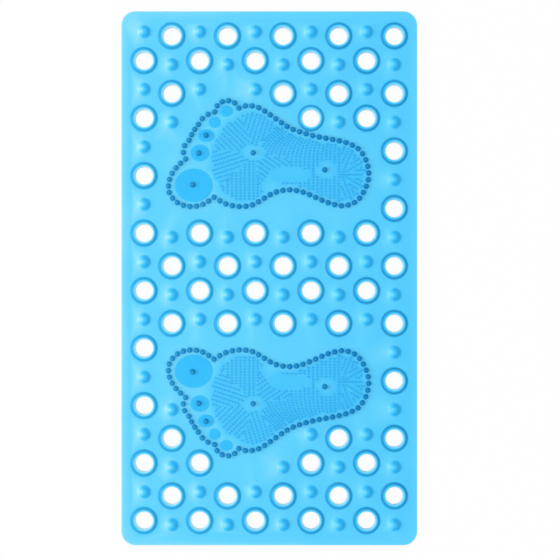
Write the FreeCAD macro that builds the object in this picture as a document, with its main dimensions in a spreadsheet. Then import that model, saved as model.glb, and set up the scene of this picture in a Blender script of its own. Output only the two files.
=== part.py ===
import FreeCAD, Part

import math
import os

import Sketcher
from FreeCAD import Vector

# Shower mat with two foot scrubbers, moulded in one piece from soft translucent PVC.
# The origin is at the middle of the mat, on the floor that its suction cups stand on.
# X runs across the mat, Y along it, and Z up. Lengths are in millimetres.
# The toes of both feet point to -X, and the feet are each other's mirror image about the X axis.

MAT_NODE = "foot_scrubber_mat"
TOLERANCE = 0.1

SIZES = [
    # the sheet
    ("mat_width", 380),
    ("mat_length", 686),
    ("sheet_thickness", 2),
    ("corner_radius", 18),
    ("edge_bevel", 1),
    # the staggered grid of drain holes and knobs
    ("column_count", 10),
    ("row_count", 18),
    ("column_pitch", 35.7),
    ("row_pitch", 36.9),
    ("column_stagger", 5.2),
    ("edge_margin", 4),
    # a drain hole and the lip round it
    ("hole_diameter", 22),
    ("lip_width", 6),
    ("lip_height", 1.6),
    ("hole_sides", 10),
    ("hole_to_foot", 19),
    # a knob on top and the suction cup under it
    ("knob_base_diameter", 18),
    ("knob_top_diameter", 11),
    ("knob_height", 3.2),
    ("knob_sides", 6),
    ("knob_to_foot", 15),
    ("cup_rim_diameter", 20),
    ("cup_rim_width", 1.5),
    ("cup_neck_diameter", 12),
    ("cup_height", 5),
    ("cup_hollow_depth", 2.5),
    ("cup_sides", 5),
    # where a foot lies on the mat
    ("foot_centre_x", 0),
    ("foot_centre_y", 156),
    # the beads along its outline
    ("bead_base_diameter", 7.6),
    ("bead_top_diameter", 5.2),
    ("bead_height", 4),
    ("bead_pitch", 8.7),
    ("bead_sides", 4),
    # the ridges over the sole, along every second row of its fine bristles
    ("ridge_pitch", 11),
    ("ridge_width", 2.4),
    ("ridge_height", 2),
    ("ridge_to_bead", 7.5),
    ("ridge_end_gap", 2),
    ("least_ridge_length", 6),
    # the studs in the middle of the ball, the heel and three of the toes
    ("stud_base_diameter", 7),
    ("stud_top_diameter", 4.5),
    ("stud_height", 5),
    ("stud_sides", 6),
    # the smooth raised pads under the toes
    ("pad_height", 0.8),
    ("pad_sides", 12),
    ("big_toe_pad_length", 50.5),
    ("big_toe_pad_width", 43.8),
    ("second_toe_pad_length", 26),
    ("second_toe_pad_width", 22.4),
    ("third_toe_pad_length", 23),
    ("third_toe_pad_width", 17.4),
    ("fourth_toe_pad_length", 17.2),
    ("fourth_toe_pad_width", 15.4),
    ("little_toe_pad_length", 17.8),
    ("little_toe_pad_width", 15.4),
]

# A foot's outline seen from above, from the foot's centre, one stretch from each cusp to the next.
SOLE_CURVE = [
    (-71, -52), (-56, -60.5), (-39, -64), (-22, -62), (-8, -54), (8, -45.5), (26, -42.5),
    (43, -45.5), (60, -52.5), (77, -59.5), (95.5, -63), (112, -57), (122.5, -42.5), (127.5, -26),
    (125, -7), (115.5, 9), (100, 17.5), (82, 22), (56, 27), (30.5, 35), (15, 44), (0, 54.5),
    (-14, 63), (-28, 65.5), (-39, 62.5),
]
TOE_ARCS = [
    [(-39, 62.5), (-53, 72), (-70, 57.5)],
    [(-70, 57.5), (-83, 51.5), (-91, 41.5)],
    [(-91, 41.5), (-98.5, 30.5), (-103, 21)],
    [(-103, 21), (-110.3, 8), (-107.3, -3)],
]
BIG_TOE_CURVE = [
    (-107.3, -3), (-119.5, -14), (-128, -29), (-128.5, -46), (-117, -59.5), (-100.5, -64),
    (-85, -61), (-71, -52),
]
# A straight line across the instep, which keeps the hollow of the foot free of holes and knobs.
INSTEP_LINE = [(-39, -64), (95.5, -63)]

# The middle of each toe's pad, and of each stud.
TOE_PADS = {
    "big_toe": (-97.2, -36.6),
    "second_toe": (-89.2, 4.8),
    "third_toe": (-81, 27),
    "fourth_toe": (-70.2, 44.2),
    "little_toe": (-55, 58.4),
}
BALL_STUD = (-20.7, 5.1)
HEEL_STUD = (71.3, -16.8)
STUDS = [BALL_STUD, HEEL_STUD, (-98.1, -36), (-90.4, 4.5), (-81.1, 27.5)]

# Round the ball and at the back of the heel the ridges run straight, each sector's in a direction
# of its own. A sector has a middle and a reach, a first and a last bearing from there, and the
# direction of its ridges, in degrees.
HEEL_MIDDLE = (92.5, -23)
RIDGE_SECTORS = [
    (BALL_STUD, 75, 52, 108, 72), (BALL_STUD, 75, 108, 175, 135), (BALL_STUD, 75, 175, 227, 198),
    (BALL_STUD, 75, 227, 281, 270), (BALL_STUD, 48, 281, 350, 325), (HEEL_MIDDLE, 60, 270, 308, 292),
    (HEEL_MIDDLE, 60, 308, 342, 330), (HEEL_MIDDLE, 60, 342, 380, 0), (HEEL_MIDDLE, 60, 20, 50, 32),
    (HEEL_MIDDLE, 60, 50, 90, 66),
]
# Between these they cross the foot: upright at its inner side, and leaning towards the heel over the instep.
INSTEP_ROWS_X = (-10, 90)
INSTEP_ROWS_Y = (-60, 60)
LEAN_START_Y = -6
LEAN = 0.017
LEAN_EASE = 0.00022
# Their field is round towards the toes, and these places in it are bare, as middle and half sizes.
FIELD_MIDDLE = (-12, -4)
FIELD_RADIUS = 61
BARE_SPOTS = [((-20.7, 5.5), 17, 11), ((73, -16.8), 14, 12), ((26, -23), 30, 11.5)]


def make_sizes(doc):
    """The spreadsheet of driving dimensions."""
    sheet = doc.addObject("Spreadsheet::Sheet", "Sizes")
    for row, (alias, value) in enumerate(SIZES, start=1):
        sheet.set(f"A{row}", alias)
        sheet.set(f"B{row}", str(value))
        sheet.setAlias(f"B{row}", alias)
    doc.recompute()
    return sheet


def make_sheet_body(doc):
    """The flat sheet: a rectangle with round corners and a bevelled upper edge."""
    body = doc.addObject("PartDesign::Body", "SheetBody")
    body.setExpression("Placement.Base.z", "Sizes.cup_height")

    sketch = body.newObject("Sketcher::SketchObject", "SheetOutline")
    floor_plane = next(f for f in body.Origin.OriginFeatures if getattr(f, "Role", "") == "XY_Plane")
    sketch.AttachmentSupport = (floor_plane, [""])
    sketch.MapMode = "FlatFace"
    corners = [Vector(-1, -1), Vector(1, -1), Vector(1, 1), Vector(-1, 1)]
    for side, start in enumerate(corners):
        sketch.addGeometry(Part.LineSegment(start, corners[(side + 1) % 4]), False)
    for side in range(4):
        sketch.addConstraint(Sketcher.Constraint("Coincident", side, 2, (side + 1) % 4, 1))
        sketch.addConstraint(Sketcher.Constraint("Vertical" if side % 2 else "Horizontal", side))
    sketch.addConstraint(Sketcher.Constraint("Symmetric", 0, 1, 2, 1, -1, 1))
    width = sketch.addConstraint(Sketcher.Constraint("DistanceX", 0, 1, 0, 2, 2))
    length = sketch.addConstraint(Sketcher.Constraint("DistanceY", 1, 1, 1, 2, 2))
    sketch.setExpression(f"Constraints[{width}]", "Sizes.mat_width")
    sketch.setExpression(f"Constraints[{length}]", "Sizes.mat_length")

    pad = body.newObject("PartDesign::Pad", "SheetPad")
    pad.Profile = sketch
    pad.setExpression("Length", "Sizes.sheet_thickness")
    doc.recompute()

    upright = [f"Edge{i}" for i, e in enumerate(pad.Shape.Edges, start=1) if e.BoundBox.ZLength > TOLERANCE]
    rounding = body.newObject("PartDesign::Fillet", "SheetCorners")
    rounding.Base = (pad, upright)
    rounding.setExpression("Radius", "Sizes.corner_radius")
    doc.recompute()

    shape = rounding.Shape
    level = shape.BoundBox.ZMax - TOLERANCE
    upper = [f"Edge{i}" for i, e in enumerate(shape.Edges, start=1) if e.BoundBox.ZMin > level]
    bevel = body.newObject("PartDesign::Chamfer", "SheetBevel")
    bevel.Base = (rounding, upper)
    bevel.setExpression("Size", "Sizes.edge_bevel")
    body.Tip = bevel
    return body


def make_prism(doc, name, sides, diameter, height):
    """An upright prism whose corners lie on a circle. The sizes are expressions."""
    prism = doc.addObject("Part::Prism", name)
    prism.setExpression("Polygon", sides)
    prism.setExpression("Circumradius", f"({diameter}) / 2")
    prism.setExpression("Height", height)
    return prism


def make_point(doc, name, sides, diameter, height):
    """A pyramid whose lower corners lie on a circle. The sizes are expressions."""
    foot = doc.addObject("Part::RegularPolygon", name + "Foot")
    foot.setExpression("Polygon", sides)
    foot.setExpression("Circumradius", f"({diameter}) / 2")
    tip = doc.addObject("Part::Vertex", name + "Tip")
    tip.setExpression("Z", height)
    point = doc.addObject("Part::Loft", name)
    point.Sections = [foot, tip]
    point.Solid = True
    point.Ruled = True
    return point


def make_stump(doc, name, sides, base, top, height):
    """A pyramid cut off flat where it is as wide as its top. The sizes are expressions."""
    stump = doc.addObject("Part::Common", name)
    stump.Base = make_point(doc, name + "Point", sides, base, f"({height}) * ({base}) / (({base}) - {top})")
    stump.Tool = make_prism(doc, name + "Slice", sides, f"2 * ({base})", height)
    return stump


def make_forms(doc):
    """One of each form that repeats, standing on the origin. Few sides keep the hundreds of copies light."""
    cup = doc.addObject("Part::Cut", "Cup")
    cup.Base = make_stump(
        doc, "CupOutside", "Sizes.cup_sides", "Sizes.cup_rim_diameter", "Sizes.cup_neck_diameter",
        "Sizes.cup_height",
    )
    cup.Tool = make_point(
        doc, "CupHollow", "Sizes.cup_sides", "Sizes.cup_rim_diameter - 2 * Sizes.cup_rim_width",
        "Sizes.cup_hollow_depth",
    )
    lip = make_stump(
        doc, "Lip", "Sizes.hole_sides", "Sizes.hole_diameter + 2 * Sizes.lip_width", "Sizes.hole_diameter",
        "Sizes.lip_height",
    )
    hole = make_prism(
        doc, "Hole", "Sizes.hole_sides", "Sizes.hole_diameter", "Sizes.sheet_thickness + Sizes.lip_height",
    )
    knob = make_stump(
        doc, "Knob", "Sizes.knob_sides", "Sizes.knob_base_diameter", "Sizes.knob_top_diameter",
        "Sizes.knob_height",
    )
    bead = make_stump(
        doc, "Bead", "Sizes.bead_sides", "Sizes.bead_base_diameter", "Sizes.bead_top_diameter",
        "Sizes.bead_height",
    )
    stud = make_stump(
        doc, "Stud", "Sizes.stud_sides", "Sizes.stud_base_diameter", "Sizes.stud_top_diameter",
        "Sizes.stud_height",
    )
    doc.recompute()
    return [cup, lip, hole, knob, bead, stud]


def make_outline():
    """The edges of a foot's outline, about the foot's own centre."""
    edges = [Part.Arc(*[Vector(x, y) for x, y in points]).toShape() for points in TOE_ARCS]
    for points in (SOLE_CURVE, BIG_TOE_CURVE):
        curve = Part.BSplineCurve()
        curve.interpolate([Vector(x, y) for x, y in points])
        edges.append(curve.toShape())
    return edges


def on_both_feet(sizes, x, y):
    """A point of the foot on the mat: on the upper foot, and on the lower one, its mirror image."""
    across = x + sizes.foot_centre_x
    along = y + sizes.foot_centre_y
    return [Vector(across, along), Vector(across, -along)]


def bead_places(sizes, outline):
    """Evenly spaced points along each stretch of a foot's outline, with one on each cusp."""
    places = []
    for edge in outline:
        count = max(1, round(edge.Length / sizes.bead_pitch))
        places += edge.discretize(Number=count + 1)[1:]
    return places


def grid_places(sizes, outline):
    """The grid's spots clear of the feet and the edge, as those for holes and those for knobs."""
    foot = Part.Face(Part.Wire(Part.sortEdges(outline)[0]))
    instep = Part.makeLine(*[Vector(x, y) for x, y in INSTEP_LINE])
    keep_out = Part.makeCompound([foot, instep])
    room = sizes.hole_diameter / 2 + sizes.lip_width + sizes.edge_margin
    most_across = sizes.mat_width / 2 - room
    most_along = sizes.mat_length / 2 - room
    holes = []
    knobs = []
    for column in range(int(sizes.column_count)):
        stagger = sizes.column_stagger / 2 * (-1 if column % 2 else 1)
        across = (column - (sizes.column_count - 1) / 2) * sizes.column_pitch
        for row in range(int(sizes.row_count)):
            along = ((sizes.row_count - 1) / 2 - row) * sizes.row_pitch + stagger
            from_foot = Vector(across - sizes.foot_centre_x, abs(along) - sizes.foot_centre_y)
            distance = keep_out.distToShape(Part.Vertex(from_foot))[0]
            is_hole = (column + row) % 2
            inside = abs(across) <= most_across and abs(along) <= most_along
            if inside and distance > (sizes.hole_to_foot if is_hole else sizes.knob_to_foot):
                (holes if is_hole else knobs).append(Vector(across, along))
    return holes, knobs


def sector_of(spot):
    """The number of the ridge sector that holds a point, or None on the instep."""
    for number, (middle, reach, first, last, _) in enumerate(RIDGE_SECTORS):
        off = spot - Vector(*middle)
        bearing = math.degrees(math.atan2(off.y, off.x))
        if off.Length < reach and (bearing - first) % 360 < last - first:
            return number
    return None


def straight_lines(sizes):
    """The lines that the straight ridges follow, about the foot's centre, as points a millimetre apart."""
    lines = []
    for sector, (middle, reach, _, _, direction) in enumerate(RIDGE_SECTORS):
        heading = math.radians(direction)
        ahead = Vector(math.cos(heading), math.sin(heading))
        aside = Vector(-ahead.y, ahead.x) * sizes.ridge_pitch
        count = int(reach / sizes.ridge_pitch)
        for number in range(-count, count):
            start = Vector(*middle) + aside * (number + 0.5)
            line = [start + ahead * step for step in range(reach)]
            lines.append([spot for spot in line if sector_of(spot) == sector])
    return lines


def instep_lines(sizes):
    """The lines that the ridges between the sectors follow, in the same way."""
    start, end = INSTEP_ROWS_X
    lowest, highest = INSTEP_ROWS_Y
    lines = []
    for number in range(int((end - start) / sizes.ridge_pitch) + 1):
        x = start + number * sizes.ridge_pitch
        lean = LEAN - LEAN_EASE * x
        upright = [Vector(x, y) for y in range(lowest, LEAN_START_Y)]
        leaning = [Vector(x + lean * (y - LEAN_START_Y) ** 2, y) for y in range(LEAN_START_Y, highest)]
        lines += [[spot for spot in line if sector_of(spot) is None] for line in (upright, leaning)]
    return lines


def ridge_ends(sizes, outline, beads):
    """Both ends of each ridge on a sole: the stretches of the lines that lie in the field."""
    foot = Part.Face(Part.Wire(Part.sortEdges(outline)[0]))
    middle = Vector(*FIELD_MIDDLE)

    def is_clear(spot):
        near_toes = spot.x < middle.x and (spot - middle).Length > FIELD_RADIUS
        bare = any(((spot.x - x) / a) ** 2 + ((spot.y - y) / b) ** 2 < 1 for (x, y), a, b in BARE_SPOTS)
        return not (near_toes or bare) and all((spot - bead).Length > sizes.ridge_to_bead for bead in beads)

    ends = []
    for line in straight_lines(sizes) + instep_lines(sizes):
        stretch = []
        for spot in [*line, None]:
            if spot is not None and is_clear(spot):
                stretch.append(spot)
                continue
            long_enough = len(stretch) > sizes.least_ridge_length + 2 * sizes.ridge_end_gap
            if long_enough and foot.isInside(stretch[0], TOLERANCE, True):
                ahead = (stretch[-1] - stretch[0]).normalize() * sizes.ridge_end_gap
                ends.append((stretch[0] + ahead, stretch[-1] - ahead))
            stretch = []
    return ends


def ridge(sizes, start, end, height):
    """A low ridge between two points at a height, which slopes down on all four sides."""
    start = start + Vector(0, 0, height)
    end = end + Vector(0, 0, height)
    ahead = (end - start).normalize() * (sizes.ridge_width / 2)
    aside = Vector(-ahead.y, ahead.x)
    a, b, c, d = start - aside, end - aside, end + aside, start + aside
    rise = Vector(0, 0, sizes.ridge_height)
    e, f = start + ahead + rise, end - ahead + rise
    sides = [(a, d, c, b), (a, b, f, e), (b, c, f), (c, d, e, f), (d, a, e)]
    faces = [Part.Face(Part.makePolygon([*corners, corners[0]])) for corners in sides]
    return Part.makeSolid(Part.makeShell(faces))


def sole_ridges(sizes, outline, beads, height):
    """The ridges over the soles of both feet."""
    ridges = []
    for start, end in ridge_ends(sizes, outline, beads):
        starts = on_both_feet(sizes, start.x, start.y)
        ends = on_both_feet(sizes, end.x, end.y)
        ridges += [ridge(sizes, *points, height) for points in zip(starts, ends)]
    return Part.makeCompound(ridges)


def copies(form, places, height):
    """Copies of a form at a height over each place."""
    return Part.makeCompound([form.translated(place + Vector(0, 0, height)) for place in places])


def toe_pads(sizes, height):
    """The raised pads under the toes of both feet: low prisms on stretched polygons."""
    pads = []
    for toe, (x, y) in TOE_PADS.items():
        half_length = getattr(sizes, toe + "_pad_length") / 2
        half_width = getattr(sizes, toe + "_pad_width") / 2
        ring = Part.Ellipse(Vector(), half_length, half_width).toShape()
        corners = ring.discretize(Number=int(sizes.pad_sides) + 1)
        pad = Part.Face(Part.makePolygon(corners)).extrude(Vector(0, 0, sizes.pad_height))
        pads += [pad.translated(place + Vector(0, 0, height)) for place in on_both_feet(sizes, x, y)]
    return Part.makeCompound(pads)


def without_history(shape):
    """The same shape with no record of the features it came from, which makes hundreds of joins quick."""
    bare = Part.Shape()
    bare.importBrepFromString(shape.exportBrepToString())
    return bare


def mould(sizes, sheet, forms):
    """The one solid: the sheet with all that stands on it and hangs under it, less the drain holes."""
    outline = make_outline()
    holes, knobs = grid_places(sizes, outline)
    beads = bead_places(sizes, outline)
    all_beads = [place for bead in beads for place in on_both_feet(sizes, bead.x, bead.y)]
    studs = [place for x, y in STUDS for place in on_both_feet(sizes, x, y)]
    underside = sizes.cup_height
    top = underside + sizes.sheet_thickness
    lipped = sheet.fuse(copies(forms["Lip"], holes, top))
    pierced = lipped.cut(copies(forms["Hole"], holes, underside))
    return pierced.fuse([
        copies(forms["Knob"], knobs, top),
        copies(forms["Cup"], knobs, 0),
        copies(forms["Bead"], all_beads, top),
        copies(forms["Stud"], studs, top),
        toe_pads(sizes, top),
        sole_ridges(sizes, outline, beads, top),
    ])


def make_mat(doc):
    """The finished mat. Its copies follow the foot's outline, so its shape is worked out from the sheet."""
    sizes = make_sizes(doc)
    sheet_body = make_sheet_body(doc)
    forms = make_forms(doc)
    plain = {form.Name: without_history(form.Shape) for form in forms}
    mat = doc.addObject("Part::Feature", "Mat")
    mat.Label = MAT_NODE
    mat.Shape = mould(sizes, without_history(sheet_body.Shape), plain)
    doc.recompute()
    return mat


def check(doc, solid):
    """Stops if any object failed, or the mat isn't one sound solid."""
    for item in doc.Objects:
        if {"Invalid", "Error"} & set(item.State):
            raise RuntimeError(f"{item.Name} failed: {item.State}")
    if solid.isNull() or not solid.isValid() or len(solid.Solids) != 1:
        raise RuntimeError(f"{MAT_NODE} isn't one valid solid")


document = FreeCAD.newDocument("FootScrubberMat")
finished = make_mat(document).Shape
check(document, finished)
os.makedirs("parts", exist_ok=True)
finished.exportStep(f"parts/{MAT_NODE}.step")
box = finished.BoundBox
print(f"{MAT_NODE}: {len(finished.Faces)} faces, {box.XLength:.1f} x {box.YLength:.1f} x {box.ZLength:.1f} mm")
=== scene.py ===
import math

import bpy
import numpy as np
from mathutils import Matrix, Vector
from mathutils.geometry import delaunay_2d_cdt


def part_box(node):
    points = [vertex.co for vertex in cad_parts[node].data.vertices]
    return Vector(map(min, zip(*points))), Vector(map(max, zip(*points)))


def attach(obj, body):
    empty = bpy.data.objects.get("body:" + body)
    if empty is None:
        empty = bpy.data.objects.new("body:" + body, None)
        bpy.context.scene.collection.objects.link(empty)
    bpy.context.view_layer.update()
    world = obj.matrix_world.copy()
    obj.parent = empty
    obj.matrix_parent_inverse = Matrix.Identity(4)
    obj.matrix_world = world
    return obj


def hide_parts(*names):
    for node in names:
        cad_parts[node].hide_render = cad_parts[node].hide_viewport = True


# Shower mat with two foot scrubbers, moulded in one piece from soft translucent light-blue PVC.
# Lengths in the tables below are in millimetres. X runs across the mat, Y along it, Z up.

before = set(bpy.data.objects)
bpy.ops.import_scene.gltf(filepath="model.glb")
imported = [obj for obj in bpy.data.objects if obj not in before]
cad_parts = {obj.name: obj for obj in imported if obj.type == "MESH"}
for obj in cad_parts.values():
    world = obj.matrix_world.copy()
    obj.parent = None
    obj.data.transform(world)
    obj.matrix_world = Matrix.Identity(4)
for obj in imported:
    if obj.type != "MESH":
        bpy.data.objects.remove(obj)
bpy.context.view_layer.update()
NODE = "foot_scrubber_mat"
MM = 0.001
# Points of a flat face that are closer together than this count as one.
FILL_TOLERANCE = 1e-6

# The mat's overall size comes from the frame.
LOW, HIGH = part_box(NODE)
HALF_WIDTH = (HIGH.x - LOW.x) / 2 / MM
HALF_LENGTH = (HIGH.y - LOW.y) / 2 / MM

# The sheet lies between these heights above the floor.
UNDERSIDE = 5.0
TOP = 7.0
CORNER_RADIUS = 18.0
CORNER_STEPS = 12
# The sheet's rounded edge, as inset, height and depth of colour.
EDGE_PROFILE = [
    (3.0, TOP, 0.03), (0.9, TOP, -0.02), (0.45, TOP - 0.12, -0.1), (0.12, TOP - 0.45, -0.1),
    (0.0, TOP - 0.9, -0.1), (0.0, UNDERSIDE + 0.3, -0.1), (0.3, UNDERSIDE, -0.02), (3.0, UNDERSIDE, 0.05),
]

# The grid of drain holes and knobs.
COLUMNS = 10
ROWS = 18
COLUMN_PITCH = 35.7
ROW_PITCH = 36.9
COLUMN_STAGGER = 5.2
HOLE_TO_FOOT = 19.0
KNOB_TO_FOOT = 15.0

# Profiles run from the sheet inwards, as radius, height above the floor, and depth of colour.
# A lip rises from the sheet, rolls over into the bore and ends in a short collar below the sheet.
# The deep colour round a hole is partly the lip's thick material and partly painted shade at its foot,
# reaching out onto the sheet; the paler colour towards the bore is painted light from the white floor
# below.
HOLE_PROFILE = [
    (18.6, TOP, 0.1), (17.4, TOP, 0.54), (17.05, TOP + 0.06, 0.74), (16.5, TOP + 0.3, 0.87),
    (16.0, TOP + 0.75, 0.9), (15.2, TOP + 1.2, 0.83), (14.3, TOP + 1.5, 0.58), (13.4, TOP + 1.6, 0.22),
    (12.6, TOP + 1.5, -0.04), (11.9, TOP + 1.15, -0.15), (11.4, TOP + 0.5, -0.2), (11.1, UNDERSIDE, -0.25),
    (11.1, UNDERSIDE - 1.6, -0.1), (11.5, UNDERSIDE - 2.2, 0.1), (12.8, UNDERSIDE - 2.2, 0.6),
    (13.3, UNDERSIDE - 1.4, 0.6), (13.9, UNDERSIDE, 0.0),
]
HOLE_STEPS = 32
# A hole nearer than this to a bead has no room for its widest ring.
HOLE_TO_BEAD = 22.8
CROWDED_HOLE_PROFILE = [(17.4, TOP, 0.12), *HOLE_PROFILE[2:]]

# A knob's depth of colour is painted shade: a dark ring round its steep side, which is then kept to the
# side away from the light.
KNOB_PROFILE = [
    (9.6, TOP, 0.05), (9.0, TOP + 0.12, 0.1), (8.4, TOP + 0.55, 0.22), (7.7, TOP + 1.25, 0.36),
    (6.9, TOP + 1.9, 0.5), (5.9, TOP + 2.45, 0.58), (4.7, TOP + 2.85, 0.55), (3.2, TOP + 3.1, 0.38),
    (1.6, TOP + 3.18, 0.22), (0.0, TOP + 3.2, 0.15),
]
KNOB_STEPS = 20
# Painted light and shade on the knobs: the light comes from the left, so each knob's near side is painted
# paler and its far side deeper by this much.
KNOB_PAINTED_LIGHT_AND_SHADE = 0.08

CUP_PROFILE = [
    (6.6, UNDERSIDE, 0.0), (6.1, UNDERSIDE - 0.7, 0.3), (6.9, UNDERSIDE - 2.5, 0.3),
    (8.6, UNDERSIDE - 4.1, 0.2), (10.0, 0.3, 0.1), (9.9, 0.0, 0.1), (8.6, 0.0, 0.1), (6.5, 1.4, 0.1),
    (3.5, 2.3, 0.2), (0.0, 2.5, 0.2),
]
CUP_STEPS = 20

BEAD_PITCH = 8.7
BEAD_PROFILE = [
    (3.8, TOP, 0.05), (3.5, TOP + 0.2, 0.85), (3.3, TOP + 1.4, 0.95), (2.75, TOP + 2.6, 0.97),
    (1.8, TOP + 3.5, 0.97), (0.8, TOP + 3.93, 0.93), (0.0, TOP + 4.0, 0.93),
]
BEAD_STEPS = 14

STUD_PROFILE = [
    (3.9, TOP, 0.1), (3.4, TOP + 0.3, 0.9), (3.1, TOP + 2.4, 1.0), (2.7, TOP + 4.0, 1.0),
    (1.8, TOP + 4.8, 0.95), (0.0, TOP + 5.0, 0.9),
]
STUD_STEPS = 16

BRISTLE_PROFILE = [
    (1.35, TOP, 0.24), (1.0, TOP + 0.5, 0.44), (0.65, TOP + 1.6, 0.58), (0.0, TOP + 2.0, 0.38),
]
BRISTLE_STEPS = 6

# Where a foot lies on the mat, and its outline about its own centre, from each cusp to the next.
FOOT_CENTRE = np.array([0.0, 156.0])
SOLE_CURVE = [
    (-71, -52), (-56, -60.5), (-39, -64), (-22, -62), (-8, -54), (8, -45.5), (26, -42.5),
    (43, -45.5), (60, -52.5), (77, -59.5), (95.5, -63), (112, -57), (122.5, -42.5), (127.5, -26),
    (125, -7), (115.5, 9), (100, 17.5), (82, 22), (56, 27), (30.5, 35), (15, 44), (0, 54.5),
    (-14, 63), (-28, 65.5), (-39, 62.5),
]
TOE_ARCS = [
    [(-39, 62.5), (-53, 72), (-70, 57.5)],
    [(-70, 57.5), (-83, 51.5), (-91, 41.5)],
    [(-91, 41.5), (-98.5, 30.5), (-103, 21)],
    [(-103, 21), (-110.3, 8), (-107.3, -3)],
]
BIG_TOE_CURVE = [
    (-107.3, -3), (-119.5, -14), (-128, -29), (-128.5, -46), (-117, -59.5), (-100.5, -64),
    (-85, -61), (-71, -52),
]
# Holes and knobs also keep off this line, straight across the hollow of the instep.
INSTEP_LINE = [(-39, -64), (95.5, -63)]
# How many points stand for each span of a curve, for each arc, and for that line.
CURVE_STEPS = 24
ARC_STEPS = 24
INSTEP_STEPS = 60

# Each toe's pad, as its middle, half its length and width, and where its stud stands if it has one.
PAD_HEIGHT = 0.8
TOE_PADS = [
    ((-97.2, -36.6), 25.2, 21.9, (-98.1, -36.0)),
    ((-89.2, 4.8), 13.0, 11.2, (-90.4, 4.5)),
    ((-81.0, 27.0), 11.5, 8.7, (-81.1, 27.5)),
    ((-70.2, 44.2), 8.6, 7.7, None),
    ((-55.0, 58.4), 8.9, 7.7, None),
]
PAD_STEPS = 40
# Its edge, as inset, rise and depth of colour, and the shallow rings on its top.
PAD_EDGE = [(0.0, 0.0, 0.05), (0.5, 0.15, 0.2), (1.3, 0.68, 0.36), (2.2, 0.8, 0.4)]
PAD_RING_PITCH = 1.3
PAD_RING_DEPTH = 0.1
PAD_DEPTHS = (0.4, 0.43)
# The rings leave a round free for a stud, whose foot is given as radius, rise and depth of colour, or
# a smaller crown where a pad has no stud.
PAD_STUD_ROUND = 4.2
PAD_STUD_FOOT = (3.5, 0.15, 0.9)
PAD_CROWN = 1.2

# Where the studs of the ball and the heel stand.
BALL = np.array([-20.7, 5.1])
HEEL = np.array([71.3, -16.8])

# Fine bristles stand in rows over the sole. Round the ball and at the back of the heel the rows run
# straight, and each sector has its own direction. A sector is given as its middle, its reach, its
# first and last bearing, and the direction of its rows, in degrees.
ROW_PITCH_FINE = 5.5
BRISTLE_PITCH = 3.7
BRISTLE_TO_BEAD = 6.4
BRISTLE_LEAST_GAP = 2.9
HEEL_MIDDLE = np.array([92.5, -23.0])
ROW_SECTORS = [
    (BALL, 75, 52, 108, 72),
    (BALL, 75, 108, 175, 135),
    (BALL, 75, 175, 227, 198),
    (BALL, 75, 227, 281, 270),
    (BALL, 48, 281, 350, 325),
    (HEEL_MIDDLE, 60, 270, 308, 292),
    (HEEL_MIDDLE, 60, 308, 342, 330),
    (HEEL_MIDDLE, 60, 342, 380, 0),
    (HEEL_MIDDLE, 60, 20, 50, 32),
    (HEEL_MIDDLE, 60, 50, 90, 66),
]
# Between these the rows cross the foot: upright at its inner side, and leaning towards the heel over
# the instep. The lean eases off towards the heel.
INSTEP_ROWS_X = (-32, 90)
INSTEP_ROWS_Y = (-60, 60)
LEAN_START_Y = -6
LEAN = 0.017
LEAN_EASE = 0.00018
EASE_START_X = -5
# Their field is round towards the toes, and these places in it are bare, as middle and half sizes.
FIELD_MIDDLE = np.array([-12.0, -4.0])
FIELD_RADIUS = 61.5
BARE_SPOTS = [
    ((-20.7, 5.5), 16.0, 10.0),
    ((73.0, -16.8), 13.5, 11.5),
    ((26.0, -23.0), 29.0, 10.5),
    ((2.0, -37.0), 13.0, 12.0),
]

# The finish goes by depth of colour: what each point holds, plus a rate for every metre across the mat,
# which is painted light that leaves the sheet paler towards the lamp on the left, a share of a soft cloud,
# and an offset.
PAINTED_LIGHT_ACROSS = 0.35
DEPTH_OFFSET = -0.032
CLOUD_SHARE = 0.1
CLOUD_SCALE = 14
CLOUD_DETAIL = 2
# The colour at each depth, from thin to thick, as on a screen. Painted light and shade also move points
# along it.
DEPTH_COLOURS = [
    (-0.3, (205, 242, 252)), (-0.1, (140, 222, 250)), (0.05, (98, 210, 252)), (0.4, (50, 190, 249)),
    (0.6, (42, 177, 238)), (0.85, (46, 164, 212)), (1.0, (2, 130, 190)),
]
# A screen's white, and the offset and power by which its values turn into light.
SCREEN_WHITE = 255
SCREEN_OFFSET = 0.055
SCREEN_POWER = 2.4
# A fine grain, with its height in metres.
GRAIN_SCALE = 900
GRAIN_DETAIL = 3
GRAIN_STRENGTH = 0.12
GRAIN_HEIGHT = 0.0002
PVC_INPUTS = {
    "Roughness": 0.32,
    "Subsurface Weight": 0.25,
    "Subsurface Radius": (0.2, 0.7, 1.0),
    "Subsurface Scale": 0.002,
    "Specular IOR Level": 0.15,
}

# The floor and the light, in metres and watts.
FLOOR_INPUTS = {"Base Color": (0.9, 0.9, 0.9, 1), "Roughness": 0.9}
FLOOR_GLOW = 0.92
FLOOR_HALF_SIDE = 6.0
SURROUND_STRENGTH = 0.89
SOFTBOX_PLACE = (-5.0, 0.0, 2.8)
SOFTBOX_SIZE = 3.2
SOFTBOX_ENERGY = 120


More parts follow.
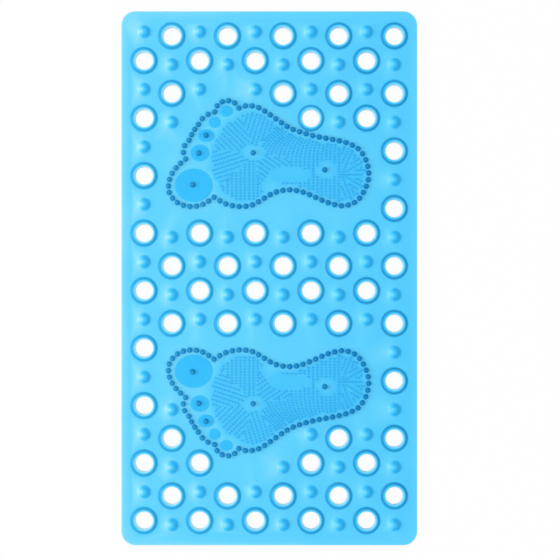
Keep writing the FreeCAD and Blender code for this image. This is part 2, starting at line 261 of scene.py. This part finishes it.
class Moulding:
    """One closed mesh, built ring by ring. Every point has a depth of colour."""

    def __init__(self):
        self.points = []
        self.depths = []
        self.faces = []
        # Each point of the sheet's flat faces, with 1 where these look up and -1 where they look down.
        self.facing = {}

    def loop(self, outline, height, depth):
        """Adds one ring of points and returns their numbers."""
        first = len(self.points)
        self.points += [(x, y, height) for x, y in outline]
        self.depths += list(np.broadcast_to(depth, len(outline)))
        return list(range(first, len(self.points)))

    def bridge(self, outer, inner, upper=True):
        """Joins two rings of as many points. upper says that the faces between them look up."""
        count = len(outer)
        for i in range(count):
            j = (i + 1) % count
            quad = (outer[i], outer[j], inner[j], inner[i])
            self.faces.append(quad if upper else quad[::-1])

    def cap(self, ring, tip, upper=True):
        """Closes a ring with triangles to one point."""
        for i, start in enumerate(ring):
            triangle = (start, ring[(i + 1) % len(ring)], tip)
            self.faces.append(triangle if upper else triangle[::-1])

    def turned(self, centre, profile, steps, upper=True, stretch=(1.0, 1.0), painted_shade=None):
        """A turned form: rings along a profile, and a tip where it ends on the axis. Its last argument
        paints light and shade into the depth of colour round a ring, which is even without it. Returns its
        first and last ring."""
        angles = np.arange(steps) * 2 * math.pi / steps
        circle = np.column_stack([np.cos(angles) * stretch[0], np.sin(angles) * stretch[1]])
        rings = []
        for radius, height, depth in profile:
            if radius == 0:
                self.cap(rings[-1], self.loop([centre], height, depth)[0], upper)
                break
            depths = painted_shade(depth, angles) if painted_shade else depth
            rings.append(self.loop(circle * radius + centre, height, depths))
            if len(rings) > 1:
                self.bridge(rings[-2], rings[-1], upper)
        return rings[0], rings[-1]

    def fill(self, outer, holes, upper=True):
        """A flat face inside the outer ring and outside the rings of holes, which are all convex."""
        rings = [outer, *holes]
        numbers = [number for ring in rings for number in ring]
        owner = {number: which for which, ring in enumerate(rings) for number in ring}
        place = {number: i for i, number in enumerate(numbers)}
        plan = [Vector(self.points[number][:2]) for number in numbers]
        edges = []
        for ring in rings:
            edges += [(place[a], place[b]) for a, b in zip(ring, ring[1:] + ring[:1])]
        _, _, triangles, origins, _, _ = delaunay_2d_cdt(plan, edges, [], 0, FILL_TOLERANCE)
        back = [numbers[origin[0]] for origin in origins]
        for triangle in triangles:
            corners = [back[i] for i in triangle]
            owners = {owner[number] for number in corners}
            # Three corners on one hole's ring mean a triangle inside that hole.
            if len(owners) == 1 and owners != {0}:
                continue
            self.faces.append(tuple(corners if upper else corners[::-1]))
        for number in numbers:
            self.facing[number] = 1.0 if upper else -1.0

    def to_object(self, name):
        """The finished mesh object, smooth, with the sheet's flat faces shaded flat."""
        mesh = bpy.data.meshes.new(name)
        mesh.from_pydata([tuple(c * MM for c in p) for p in self.points], [], self.faces)
        mesh.validate()
        mesh.attributes.new("depth", "FLOAT", "POINT").data.foreach_set("value", self.depths)
        mesh.polygons.foreach_set("use_smooth", [True] * len(mesh.polygons))
        normals = np.empty(len(self.points) * 3)
        mesh.vertex_normals.foreach_get("vector", normals)
        normals = normals.reshape(-1, 3)
        for number, up in self.facing.items():
            normals[number] = (0, 0, up)
        mesh.normals_split_custom_set_from_vertices(normals)
        piece = bpy.data.objects.new(name, mesh)
        bpy.context.collection.objects.link(piece)
        return piece


def curve_through(points):
    """Points along a smooth cubic curve through the given ones."""
    given = np.array(points, float)
    padded = np.vstack([2 * given[0] - given[1], given, 2 * given[-1] - given[-2]])
    found = [given[0]]
    for a, b, c, d in zip(padded, padded[1:], padded[2:], padded[3:]):
        squared = 2 * a - 5 * b + 4 * c - d
        cubed = 3 * b - a - 3 * c + d
        for step in range(1, CURVE_STEPS + 1):
            t = step / CURVE_STEPS
            found.append((2 * b + (c - a) * t + squared * t**2 + cubed * t**3) / 2)
    return np.array(found)


def arc_through(points):
    """Points along the circle through three points, from the first to the last."""
    a, b, c = np.array(points, float)
    across = 2 * np.array([b - a, c - a])
    centre = np.linalg.solve(across, [b @ b - a @ a, c @ c - a @ a])
    start, middle, end = [math.atan2(*(p - centre)[::-1]) for p in (a, b, c)]
    turn = (end - start) % (2 * math.pi)
    if (middle - start) % (2 * math.pi) > turn:
        turn -= 2 * math.pi
    angles = start + turn * np.linspace(0, 1, ARC_STEPS)
    radius = np.linalg.norm(a - centre)
    return centre + radius * np.column_stack([np.cos(angles), np.sin(angles)])


def along(line, count):
    """Evenly spaced points along a line, its first left out."""
    lengths = np.concatenate([[0], np.cumsum(np.linalg.norm(np.diff(line, axis=0), axis=1))])
    wanted = lengths[-1] * np.arange(1, count + 1) / count
    return np.column_stack([np.interp(wanted, lengths, line[:, 0]), np.interp(wanted, lengths, line[:, 1])])


def line_length(line):
    """How long a line is, from point to point."""
    return np.linalg.norm(np.diff(line, axis=0), axis=1).sum()


def inside(points, polygon):
    """Which points lie inside a polygon."""
    x, y = points[:, 0], points[:, 1]
    within = np.zeros(len(points), bool)
    for (ax, ay), (bx, by) in zip(polygon, np.roll(polygon, -1, axis=0)):
        crosses = (ay > y) != (by > y)
        # A level side is never crossed, so any rise serves for it.
        slope = (bx - ax) / (by - ay or 1.0)
        within ^= crosses & (x < ax + (y - ay) * slope)
    return within


def nearest(points, others):
    """Each point's distance to the nearest of the others."""
    return np.min(np.linalg.norm(points[:, None, :] - np.asarray(others)[None, :, :], axis=2), axis=1)


# A foot's outline in stretches from cusp to cusp, as one line, and the beads along it.
STRETCHES = [
    curve_through(SOLE_CURVE),
    *[arc_through(points) for points in TOE_ARCS],
    curve_through(BIG_TOE_CURVE),
]
OUTLINE = np.vstack([stretch[1:] for stretch in STRETCHES])
BEADS = np.vstack([along(stretch, round(line_length(stretch) / BEAD_PITCH)) for stretch in STRETCHES])


def grid_places():
    """The grid's spots clear of both feet, as those for holes and those for knobs."""
    instep = np.linspace(*INSTEP_LINE, INSTEP_STEPS)
    holes = []
    knobs = []
    for column in range(COLUMNS):
        across = (column - (COLUMNS - 1) / 2) * COLUMN_PITCH
        stagger = COLUMN_STAGGER / 2 * (-1 if column % 2 else 1)
        for row in range(ROWS):
            upwards = ((ROWS - 1) / 2 - row) * ROW_PITCH + stagger
            spot = np.array([[across, abs(upwards)]]) - FOOT_CENTRE
            distance = min(nearest(spot, OUTLINE)[0], nearest(spot, instep)[0])
            is_hole = (column + row) % 2
            if not inside(spot, OUTLINE)[0] and distance > (HOLE_TO_FOOT if is_hole else KNOB_TO_FOOT):
                (holes if is_hole else knobs).append((across, upwards))
    return holes, knobs


def sectors_of(spots):
    """The number of the sector that holds each spot, or -1 on the instep."""
    found = np.full(len(spots), -1)
    for number, (middle, reach, first, last, _) in enumerate(ROW_SECTORS):
        off = spots - middle
        bearings = np.degrees(np.arctan2(off[:, 1], off[:, 0]))
        held = (np.linalg.norm(off, axis=1) < reach) & ((bearings - first) % 360 < last - first)
        found[held & (found < 0)] = number
    return found


def bristle_rows():
    """Every spot on the rows' lines, sector by sector, about the foot's centre."""
    rows = []
    for sector, (middle, reach, _, _, direction) in enumerate(ROW_SECTORS):
        heading = math.radians(direction)
        ahead = np.array([math.cos(heading), math.sin(heading)])
        aside = np.array([-ahead[1], ahead[0]]) * ROW_PITCH_FINE
        count = int(reach / ROW_PITCH_FINE)
        steps = np.outer(np.arange(0, reach, BRISTLE_PITCH), ahead)
        line = np.vstack([middle + aside * number + steps for number in range(-count, count + 1)])
        rows.append(line[sectors_of(line) == sector])
    for x in np.arange(*INSTEP_ROWS_X, ROW_PITCH_FINE):
        y = np.arange(*INSTEP_ROWS_Y)
        lean = (LEAN - LEAN_EASE * max(x, EASE_START_X)) * np.maximum(0, y - LEAN_START_Y) ** 2
        curve = np.column_stack([x + lean, y])
        line = along(curve, int(line_length(curve) / BRISTLE_PITCH))
        rows.append(line[sectors_of(line) < 0])
    return np.vstack(rows)


def bristle_places():
    """Where the bristles of a foot stand, about its centre."""
    spots = bristle_rows()
    spots = spots[inside(spots, OUTLINE)]
    spots = spots[nearest(spots, BEADS) > BRISTLE_TO_BEAD]
    from_middle = np.linalg.norm(spots - FIELD_MIDDLE, axis=1)
    spots = spots[(spots[:, 0] > FIELD_MIDDLE[0]) | (from_middle < FIELD_RADIUS)]
    for middle, half_x, half_y in BARE_SPOTS:
        spots = spots[np.linalg.norm((spots - middle) / (half_x, half_y), axis=1) > 1]
    kept = []
    for spot in spots:
        if not kept or nearest(spot[None, :], kept)[0] > BRISTLE_LEAST_GAP:
            kept.append(spot)
    return np.array(kept)


def on_both_feet(spots):
    """Points of a foot on the mat: on the upper foot, and on the lower one, its mirror image."""
    upper = np.atleast_2d(spots) + FOOT_CENTRE
    return np.vstack([upper, upper * (1, -1)])


def rounded_rectangle(inset):
    """The mat's outline, smaller all round by an inset."""
    radius = CORNER_RADIUS - inset
    points = []
    for quarter, (sx, sy) in enumerate([(1, 1), (-1, 1), (-1, -1), (1, -1)]):
        middle = (sx * (HALF_WIDTH - CORNER_RADIUS), sy * (HALF_LENGTH - CORNER_RADIUS))
        for step in range(CORNER_STEPS + 1):
            angle = (quarter + step / CORNER_STEPS) * math.pi / 2
            points.append((middle[0] + radius * math.cos(angle), middle[1] + radius * math.sin(angle)))
    return points


def knob_painted_light_and_shade(depth, angles):
    """Painted light and shade on a knob's ring, as depth of colour: paler on the side towards the light
    from the left, deeper on the far side.
    """
    return depth * np.minimum(1, 1 + np.cos(angles)) + KNOB_PAINTED_LIGHT_AND_SHADE * np.cos(angles)


def add_pad(mat, centre, half_x, half_y, stud):
    """A toe pad: a low step, fine rings on its top, and a round stud or a flat crown in the middle.
    Returns its ring on the sheet."""
    top = TOP + PAD_HEIGHT
    rim = PAD_EDGE[-1][0]
    crown = PAD_CROWN if stud is None else PAD_STUD_ROUND
    rings = int((half_x - rim - crown) // PAD_RING_PITCH)
    insets = [(inset, TOP + rise, depth) for inset, rise, depth in PAD_EDGE]
    for number in range(1, rings):
        sunk = number % 2
        insets.append((rim + number * PAD_RING_PITCH, top - PAD_RING_DEPTH * sunk, PAD_DEPTHS[sunk]))
    profile = [((half_x - inset) / half_x, height, depth) for inset, height, depth in insets]
    start, last = mat.turned(centre, profile, PAD_STEPS, stretch=(half_x, half_y))
    finish = [(crown, top, PAD_DEPTHS[0])]
    if stud is None:
        finish.append((0.0, top, PAD_DEPTHS[0]))
    else:
        radius, rise, depth = PAD_STUD_FOOT
        finish += [(radius, top + rise, depth), *STUD_PROFILE[2:]]
    first, _ = mat.turned(centre if stud is None else stud, finish, PAD_STEPS)
    mat.bridge(last, first)
    return start


def make_mat():
    """The whole mat as one closed mesh."""
    mat = Moulding()
    holes, knobs = grid_places()
    above = []
    below = []
    all_beads = on_both_feet(BEADS)
    for place in holes:
        crowded = nearest(np.array([place]), all_beads)[0] < HOLE_TO_BEAD
        profile = CROWDED_HOLE_PROFILE if crowded else HOLE_PROFILE
        first, last = mat.turned(np.array(place), profile, HOLE_STEPS)
        above.append(first)
        below.append(last)
    for place in knobs:
        above.append(mat.turned(np.array(place), KNOB_PROFILE, KNOB_STEPS, painted_shade=knob_painted_light_and_shade)[0])
        below.append(mat.turned(np.array(place), CUP_PROFILE, CUP_STEPS, upper=False)[0])
    for place in all_beads:
        above.append(mat.turned(place, BEAD_PROFILE, BEAD_STEPS)[0])
    for place in on_both_feet([BALL, HEEL]):
        above.append(mat.turned(place, STUD_PROFILE, STUD_STEPS)[0])
    for middle, half_x, half_y, stud in TOE_PADS:
        studs = [None, None] if stud is None else on_both_feet(stud)
        for place, stud_place in zip(on_both_feet(middle), studs):
            above.append(add_pad(mat, place, half_x, half_y, stud_place))
    for place in on_both_feet(bristle_places()):
        above.append(mat.turned(place, BRISTLE_PROFILE, BRISTLE_STEPS)[0])

    rings = [mat.loop(rounded_rectangle(inset), height, depth) for inset, height, depth in EDGE_PROFILE]
    for upper_ring, lower_ring in zip(rings, rings[1:]):
        mat.bridge(lower_ring, upper_ring)
    mat.fill(rings[0], above)
    mat.fill(rings[-1], below, upper=False)
    return mat.to_object("moulded_mat")


def set_inputs(target, values):
    """Sets a shader node's inputs, each by its name or number."""
    for name, value in values.items():
        target.inputs[name].default_value = value


def node(tree, kind, inputs=None, **properties):
    """A shader node with its inputs and its properties set."""
    made = tree.nodes.new(kind)
    for name, value in properties.items():
        setattr(made, name, value)
    set_inputs(made, inputs or {})
    return made


def linear(colour):
    """A colour as on a screen, as the values that a shader takes."""
    shares = [part / SCREEN_WHITE for part in colour]
    return [((share + SCREEN_OFFSET) / (1 + SCREEN_OFFSET)) ** SCREEN_POWER for share in shares]


def soft_pvc():
    """Soft translucent PVC: light blue where thin, deeper blue where thick, with a soft gloss. Its depth of
    colour also carries painted light and shade.
    """
    material = bpy.data.materials.new("soft_pvc_gloss")
    material.use_nodes = True
    tree = material.node_tree
    shader = tree.nodes["Principled BSDF"]
    set_inputs(shader, PVC_INPUTS)
    link = tree.links.new

    depth = node(tree, "ShaderNodeAttribute", attribute_name="depth")
    place = node(tree, "ShaderNodeTexCoord")
    cloud = node(tree, "ShaderNodeTexNoise", {"Scale": CLOUD_SCALE, "Detail": CLOUD_DETAIL})
    link(place.outputs["Object"], cloud.inputs["Vector"])
    vary = node(tree, "ShaderNodeMath", {1: CLOUD_SHARE, 2: DEPTH_OFFSET}, operation="MULTIPLY_ADD")
    link(cloud.outputs["Fac"], vary.inputs[0])
    spread = node(tree, "ShaderNodeSeparateXYZ")
    link(place.outputs["Object"], spread.inputs["Vector"])
    # Painted light: the sheet's colour grows paler towards the left, where the light comes from.
    across = node(tree, "ShaderNodeMath", {1: PAINTED_LIGHT_ACROSS}, operation="MULTIPLY_ADD")
    link(spread.outputs["X"], across.inputs[0])
    link(vary.outputs[0], across.inputs[2])
    total = node(tree, "ShaderNodeMath", operation="ADD")
    link(depth.outputs["Fac"], total.inputs[0])
    link(across.outputs[0], total.inputs[1])

    thinnest = DEPTH_COLOURS[0][0]
    thickest = DEPTH_COLOURS[-1][0]
    share = node(tree, "ShaderNodeMapRange", {"From Min": thinnest, "From Max": thickest})
    link(total.outputs[0], share.inputs["Value"])
    ramp = node(tree, "ShaderNodeValToRGB")
    stops = ramp.color_ramp.elements
    # The ramp has a stop at each end. New ones start half way, and all are then put in their places.
    while len(stops) < len(DEPTH_COLOURS):
        stops.new(0.5)
    for stop, (level, colour) in zip(stops, DEPTH_COLOURS):
        stop.position = (level - thinnest) / (thickest - thinnest)
        stop.color = (*linear(colour), 1)
    link(share.outputs["Result"], ramp.inputs["Fac"])
    link(ramp.outputs["Color"], shader.inputs["Base Color"])

    grain = node(tree, "ShaderNodeTexNoise", {"Scale": GRAIN_SCALE, "Detail": GRAIN_DETAIL})
    link(place.outputs["Object"], grain.inputs["Vector"])
    bump = node(tree, "ShaderNodeBump", {"Strength": GRAIN_STRENGTH, "Distance": GRAIN_HEIGHT})
    link(grain.outputs["Fac"], bump.inputs["Height"])
    link(bump.outputs["Normal"], shader.inputs["Normal"])
    return material


def floor_white():
    """White for the floor: seen as plain white, with a faint shadow of the mat."""
    material = bpy.data.materials.new("studio_floor")
    material.use_nodes = True
    tree = material.node_tree
    link = tree.links.new
    shader = tree.nodes["Principled BSDF"]
    set_inputs(shader, FLOOR_INPUTS)
    glow = node(tree, "ShaderNodeEmission")
    path = node(tree, "ShaderNodeLightPath")
    share = node(tree, "ShaderNodeMath", {1: FLOOR_GLOW}, operation="MULTIPLY")
    mix = node(tree, "ShaderNodeMixShader")
    link(path.outputs["Is Camera Ray"], share.inputs[0])
    link(share.outputs[0], mix.inputs["Fac"])
    link(shader.outputs[0], mix.inputs[1])
    link(glow.outputs[0], mix.inputs[2])
    link(mix.outputs[0], tree.nodes["Material Output"].inputs["Surface"])
    return material


def make_floor():
    """A large plain floor, level with the suction cups' rims."""
    side = FLOOR_HALF_SIDE
    mesh = bpy.data.meshes.new("floor")
    corners = [(-side, -side, 0), (side, -side, 0), (side, side, 0), (-side, side, 0)]
    mesh.from_pydata(corners, [], [(0, 1, 2, 3)])
    mesh.materials.append(floor_white())
    floor = bpy.data.objects.new("floor", mesh)
    bpy.context.collection.objects.link(floor)


def add_softbox(name, place, size, energy):
    """A round soft light that looks at the mat's middle."""
    lamp = bpy.data.lights.new(name, "AREA")
    lamp.shape = "DISK"
    lamp.size = size
    lamp.energy = energy
    source = bpy.data.objects.new(name, lamp)
    source.location = place
    source.rotation_euler = (-source.location).to_track_quat("-Z", "Y").to_euler()
    bpy.context.collection.objects.link(source)


def make_lights():
    """Soft light from low on the left, level with the mat's middle, and an even white surround."""
    world = bpy.data.worlds.new("surround")
    bpy.context.scene.world = world
    world.use_nodes = True
    background = world.node_tree.nodes["Background"]
    set_inputs(background, {"Color": (1, 1, 1, 1), "Strength": SURROUND_STRENGTH})
    add_softbox("left_softbox", SOFTBOX_PLACE, SOFTBOX_SIZE, SOFTBOX_ENERGY)


def make_camera():
    """Straight above, framed as the photograph is."""
    photo_side = 560
    mm_per_pixel = 1.2838
    mat_middle_pixel = (269.2, 278.25)
    distance = 1.25
    lens = bpy.data.cameras.new("camera")
    lens.sensor_width = 36
    lens.lens = lens.sensor_width * distance / (photo_side * mm_per_pixel * MM)
    camera = bpy.data.objects.new("camera", lens)
    across = (photo_side / 2 - mat_middle_pixel[0]) * mm_per_pixel * MM
    upwards = (mat_middle_pixel[1] - photo_side / 2) * mm_per_pixel * MM
    camera.location = (across, upwards, distance + TOP * MM)
    bpy.context.collection.objects.link(camera)
    bpy.context.scene.camera = camera


mat_piece = make_mat()
mat_piece.data.materials.append(soft_pvc())
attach(mat_piece, "root")
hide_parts(NODE)
make_floor()
make_lights()
make_camera()
bpy.context.scene.view_settings.view_transform = "Standard"
